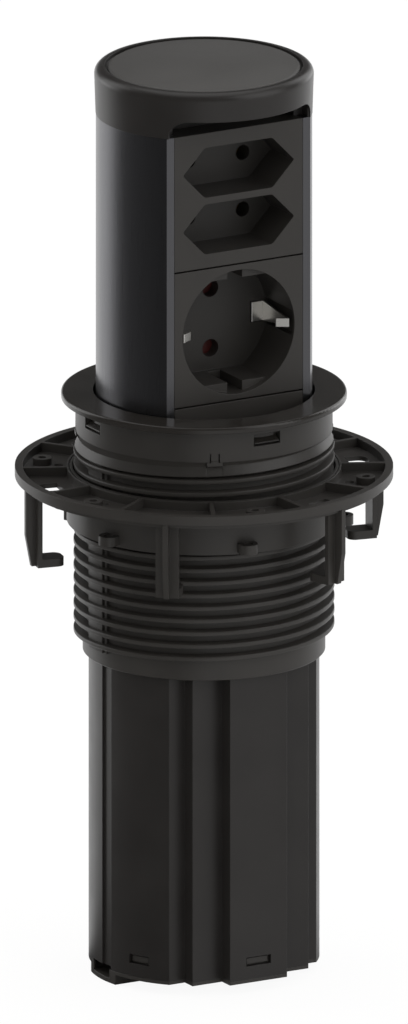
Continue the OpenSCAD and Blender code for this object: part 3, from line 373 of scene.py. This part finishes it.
notch_at = np.array([-114.7, -24.7, 65.3, 155.3])
notch_turn = np.degrees(np.arcsin(NOTCH_HALF / NECK_R))
strip_across = np.array([STRIP_LEFT, STRIP_RIGHT, SLIT_RIGHT, RIB_RIGHT])
strip_edges = 180 + np.degrees(np.arcsin(strip_across / STRIP_R))
edges = np.concatenate([notch_at - notch_turn, notch_at + notch_turn, strip_edges]) % 360
azimuth = np.unique(np.concatenate([
    np.arange(0, 360, 2.0), edges - COLUMN_STEP, edges + COLUMN_STEP]))[None, :]


def sleeve_points():
    """Each row gives a radius and a height for every azimuth.

    The waist follows the thread's top turn, which is half a pitch lower at the left than at the
    right. A notch lowers the upper edge, and the strip and its rib raise the root.
    """
    one = np.ones_like(azimuth)
    away = np.abs((azimuth[..., None] - notch_at + 180) % 360 - 180).min(axis=-1)
    notched = away < notch_turn
    left, right, slit, rib = strip_edges
    top_turn = TOP_TURN - PITCH / 4 * np.cos(np.radians(azimuth - TOP_TURN_LOWEST_AT))
    root = np.where((azimuth > left) & (azimuth < right), STRIP_R, ROOT_R * one)
    root = np.where((azimuth > slit) & (azimuth < rib), RIB_R, root)
    top = np.where(notched, NECK_LOW - NOTCH_DEEP, NECK_LOW * one)
    rows = [
        (BORE_R, SLEEVE_LOW),
        (LOW_EDGE_R, SLEEVE_LOW),
        (ROOT_R, SLEEVE_LOW + LOW_EDGE_HIGH),
        (ROOT_R, THREAD_END),
        (root, THREAD_END + ROW_STEP),
        (root, top_turn + SHELF_UP),
        (SHELF_R, top_turn + SHELF_UP + ROW_STEP),
        (SHELF_LIP_R, top_turn + SHELF_LIP_UP),
        (NARROW_R, np.minimum(top_turn + NARROW_UP, top - NARROW_BELOW_RIM)),
        (RIM_R, top),
        (SEAT_R, top),
        (SEAT_R, SEAT_LOW),
        (BORE_R, SEAT_LOW),
    ]
    radius = np.concatenate([r * one for r, z in rows])
    height = np.concatenate([z * one for r, z in rows])
    return polar(radius, azimuth, height)


thread_body = skin("thread_body", sleeve_points(), "housing", closed_rows=True)
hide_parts("threaded_sleeve")
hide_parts("threaded_sleeve")

# %% [markdown]
# ## The inlay disc
#
# The cap's top holds a round disc whose edge is turned down in a narrow bevel beside a dark groove.
# The CAD disc is a plain slice. This one is turned from an outline that ends in the bevel.

# %% Inlay disc
INLAY_R, INLAY_LOW, INLAY_HIGH = 29.4, 103.7, 104.8
# The ring round the disc's centre, which one face caps
CENTRE_R = 0.01
# The bevel's points, counted out and up from the corner that the disc would have without it
BEVEL = [(0.0, -0.55), (-0.15, -0.42), (-0.7, -0.06), (-0.85, 0.0)]

outline = np.array(
    [(CENTRE_R, INLAY_LOW), (INLAY_R, INLAY_LOW)]
    + [(INLAY_R + out, INLAY_HIGH + up) for out, up in BEVEL]
    + [(CENTRE_R, INLAY_HIGH)])
disc_points = polar(outline[:, :1], np.arange(0, 360, 1.5)[None, :], outline[:, 1:])
inlay_disc = skin("inlay_disc", disc_points, "tower")
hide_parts("cap_inlay")

# %% [markdown]
# ## Springs
#
# One spring stands beside the pin shutter and one behind each brake shoe. A solid coil can't be
# pressed together, so at the end of its joint's travel the moving piece would cut through it. Here
# each coil's mesh is copied, welded into one smooth skin and attached to the tower, and the CAD coil
# is hidden; the copy keeps the coil's full length.

# %% Springs
WELD_MM = 0.001


def coil_spring(node):
    """A welded, smooth-shaded copy of a coil's mesh on the tower, which hides the CAD coil; it keeps
    the coil's length.
    """
    welder = bmesh.new()
    welder.from_mesh(nodes[node].data)
    bmesh.ops.remove_doubles(welder, verts=welder.verts, dist=WELD_MM * MM)
    mesh = bpy.data.meshes.new(node + "_coil")
    welder.to_mesh(mesh)
    welder.free()
    mesh.shade_smooth()
    made = bpy.data.objects.new(node + "_coil", mesh)
    bpy.context.scene.collection.objects.link(made)
    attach(made, "tower")
    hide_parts(node)
    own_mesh(made)
    return made


springs = [
    coil_spring("shutter_spring"),
    coil_spring("brake_spring_left"),
    coil_spring("brake_spring_right"),
]

# %% [markdown]
# ## Finishes: the plastics
#
# Nearly everything black on this object is moulded plastic. The tube and the cap are ABS from a
# finely spark-eroded mould, which leaves a satin sheen and a faint grain, and the collar is ABS
# from a polished mould. The two sleeves, the clamp ring and the base, which carry load, take a
# rougher copy of it whose paler tone is painted light, brightening them where the studio leaves
# them too dark. The faceplates are polycarbonate, and the inlay disc in the cap has a coarser grain
# so that fingers don't mark it. An image of each grain could be wrapped round the piece, but noise
# read from the object's own coordinates needs no unwrapping and has a real size in millimetres. A
# noise with larger features lets tone and sheen drift a little, and a very long wave in the surface
# stands for the slight sink of a thin moulded wall. A Bevel node rounds the shading at every edge,
# as the mould's own small radii do, without changing the CAD mesh.

# %% Plastics
# Tone and sheen drift between these two values of a noise, the sheen by this much either way
NOISE_LOW, NOISE_HIGH, SHEEN_DRIFT = 0.3, 0.7, 0.03
DRIFT_MM = 14
# A thin wall sinks by a few hundredths of a millimetre over 30 mm
SINK_MM, SINK_DEEP_MM = 30, 0.03


def plastic(name, code, roughness, grain_mm, grain_height_mm, mottling, edge_mm=0.35):
    """Moulded plastic: a colour that drifts, a satin sheen, the mould's grain and soft edges."""
    tree, output, made = material(name)
    place = add(tree, "ShaderNodeTexCoord").outputs["Object"]
    drift = add(tree, "ShaderNodeTexNoise", {
        "Vector": place, "Scale": per_metre(DRIFT_MM), "Detail": 3.0})
    tone = add(tree, "ShaderNodeValToRGB", {"Fac": drift.outputs["Fac"]})
    base = linear(code)
    stops = ((NOISE_LOW, 1 - mottling), (NOISE_HIGH, 1 + mottling))
    for stop, (position, factor) in zip(tone.color_ramp.elements, stops):
        stop.position = position
        stop.color = [c * factor for c in base[:3]] + [1]
    sheen = add(tree, "ShaderNodeMapRange", {
        "Value": drift.outputs["Fac"], "From Min": NOISE_LOW, "From Max": NOISE_HIGH,
        "To Min": roughness - SHEEN_DRIFT, "To Max": roughness + SHEEN_DRIFT})
    edge = add(tree, "ShaderNodeBevel", {"Radius": edge_mm * MM}, samples=4)
    sink = add(tree, "ShaderNodeTexNoise", {
        "Vector": place, "Scale": per_metre(SINK_MM), "Detail": 0.0})
    wave = add(tree, "ShaderNodeBump", {
        "Height": sink.outputs["Fac"], "Strength": 1.0, "Distance": SINK_DEEP_MM * MM,
        "Normal": edge.outputs["Normal"]})
    # Real spark grain is about 0.05 mm; it is drawn several times coarser so that it shows at all
    grain = add(tree, "ShaderNodeTexNoise", {
        "Vector": place, "Scale": per_metre(grain_mm), "Detail": 2.0})
    bump = add(tree, "ShaderNodeBump", {
        "Height": grain.outputs["Fac"], "Strength": 1.0, "Distance": grain_height_mm * MM,
        "Normal": wave.outputs["Normal"]})
    shader = add(tree, "ShaderNodeBsdfPrincipled", {
        "Base Color": tone.outputs["Color"], "Roughness": sheen.outputs["Result"], "IOR": 1.5,
        "Normal": bump.outputs["Normal"]})
    tree.links.new(shader.outputs[0], output.inputs["Surface"])
    print(name, "roughness", roughness, "grain", grain_mm, "mm")
    return made


finishes = {
    # ABS, injection moulded and coloured through: black, satin, with long soft highlights
    "black_plastic": plastic("moulded_black_abs", "#232120", 0.34, 0.5, 0.004, 0.10),
    # ABS from a polished mould: the same black with a gloss, so the collar mirrors the tower's foot
    "polished_plastic": plastic("polished_black_abs", "#242220", 0.2, 0.5, 0.002, 0.10),
    # A rougher copy of the black ABS for the load-bearing pieces; its paler colour is painted light,
    # brightening them where the studio leaves them too dark
    "paler_black_plastic": plastic("paler_rougher_black_plastic", "#2f2d2b", 0.40, 0.4, 0.006, 0.10),
    # Polycarbonate: a touch paler, so the flat faces stay readable in their own shade
    "soft_black_plastic": plastic("moulded_black_polycarbonate", "#2d2b29", 0.42, 0.35, 0.006, 0.06),
    # ABS from an etched mould: charcoal, matt and grained, so it takes no sharp reflections
    "inlay_plastic": plastic("etched_charcoal_abs", "#424140", 0.55, 0.3, 0.012, 0.06),
    # Red nylon, the shutter behind the earthed socket's holes; its red is darkened as painted shade for
    # the deep holes it is seen through
    "red_plastic": plastic("moulded_red_nylon", "#4c1613", 0.45, 0.5, 0.004, 0.08),
    # Undyed nylon, off-white and waxy, the terminal block inside the tower
    "cream_plastic": plastic("moulded_natural_nylon", "#d8d6d0", 0.5, 0.5, 0.004, 0.04),
}

# %% [markdown]
# ## Finishes: the metals
#
# The tower is an aluminium extrusion. The die draws fine lines along its length, and anodising dyes
# it black but keeps it a metal, so it mirrors the studio in long bright streaks down its sides
# where plastic would only glow. The spring strip in the round socket is nickel-plated, the contacts
# are plain stamped brass, and the springs and screws are zinc-plated steel. All four use the same
# recipe: a metal's colour, a roughness, and noise that is stretched along the direction in which
# the metal was worked, where there is one.


# %% Metals
def metal(name, code, roughness, line_mm, line_height_mm, stretch, edge_mm=0.2):
    """Metal: it mirrors in its own colour, with lines along the axis whose stretch is smallest."""
    tree, output, made = material(name)
    place = add(tree, "ShaderNodeTexCoord").outputs["Object"]
    along = add(tree, "ShaderNodeMapping", {"Vector": place, "Scale": stretch})
    lines = add(tree, "ShaderNodeTexNoise", {
        "Vector": along.outputs[0], "Scale": per_metre(line_mm), "Detail": 2.0})
    sheen = add(tree, "ShaderNodeMapRange", {
        "Value": lines.outputs["Fac"], "From Min": NOISE_LOW, "From Max": NOISE_HIGH,
        "To Min": roughness - SHEEN_DRIFT, "To Max": roughness + SHEEN_DRIFT})
    edge = add(tree, "ShaderNodeBevel", {"Radius": edge_mm * MM}, samples=4)
    bump = add(tree, "ShaderNodeBump", {
        "Height": lines.outputs["Fac"], "Strength": 1.0, "Distance": line_height_mm * MM,
        "Normal": edge.outputs["Normal"]})
    shader = add(tree, "ShaderNodeBsdfPrincipled", {
        "Base Color": linear(code), "Metallic": 1.0, "Roughness": sheen.outputs["Result"],
        "Normal": bump.outputs["Normal"]})
    tree.links.new(shader.outputs[0], output.inputs["Surface"])
    print(name, "roughness", roughness, "lines", line_mm, "mm")
    return made


finishes.update({
    # Extruded aluminium, anodised and dyed black: die lines run up the tower
    "black_anodised": metal("black_anodised_aluminium", "#717174", 0.3, 0.25, 0.0012, (1, 1, 0.01)),
    # Steel strip, nickel-plated: the brightest thing on the object, with rolling lines along it
    "nickel": metal("nickel_plated_strip", "#e6e4df", 0.3, 0.2, 0.001, (1, 0.05, 1)),
    # Brass sheet, stamped and left plain; its colour is darkened far below bright brass as painted
    # shade for the contacts deep in the pin holes
    "brass": metal("stamped_brass", "#7c6636", 0.45, 0.2, 0.001, (1, 1, 0.05)),
    # Steel wire and screws, zinc-plated: a cool grey sheen
    "steel": metal("zinc_plated_steel", "#a8a8a6", 0.34, 0.3, 0.001, (1, 1, 1)),
})

# %% [markdown]
# ## Dressing
#
# The imported record names a material slot for each node, and most nodes take the finish of that
# name. Seven take another, because the photograph shows differences within one slot: the collar has
# more gloss, and the load-bearing black pieces are duller and take a copy painted paler, which is
# painted light. The two carriers behind the pin holes take the black faceplate finish as painted
# shade, so nothing pale shows through the holes.

# %% Dress every piece
special = {"collar": "polished_plastic"}
# The sleeves, the clamp ring and the base take the rougher copy, painted paler as painted light
for name in ("neck_sleeve", "threaded_sleeve", "clamp_ring", "base_cover"):
    special[name] = "paler_black_plastic"
# The carriers behind the pin holes are black as painted shade, so the holes read dark
for name in ("two_pin_carrier", "earthed_carrier"):
    special[name] = "soft_black_plastic"
for row in frame["record"]["subparts"]:
    mesh = nodes[row["node"]].data
    mesh.materials.clear()
    mesh.materials.append(finishes[special.get(row["node"], row["material_slot"])])
# The new sleeve and its thread take the same copy, painted paler as painted light
for piece in (thread_body, thread_ridge):
    piece.data.materials.append(finishes["paler_black_plastic"])
inlay_disc.data.materials.append(finishes["inlay_plastic"])
for spring in springs:
    spring.data.materials.clear()
    spring.data.materials.append(finishes["steel"])

# %% Finish
bpy.context.view_layer.update()
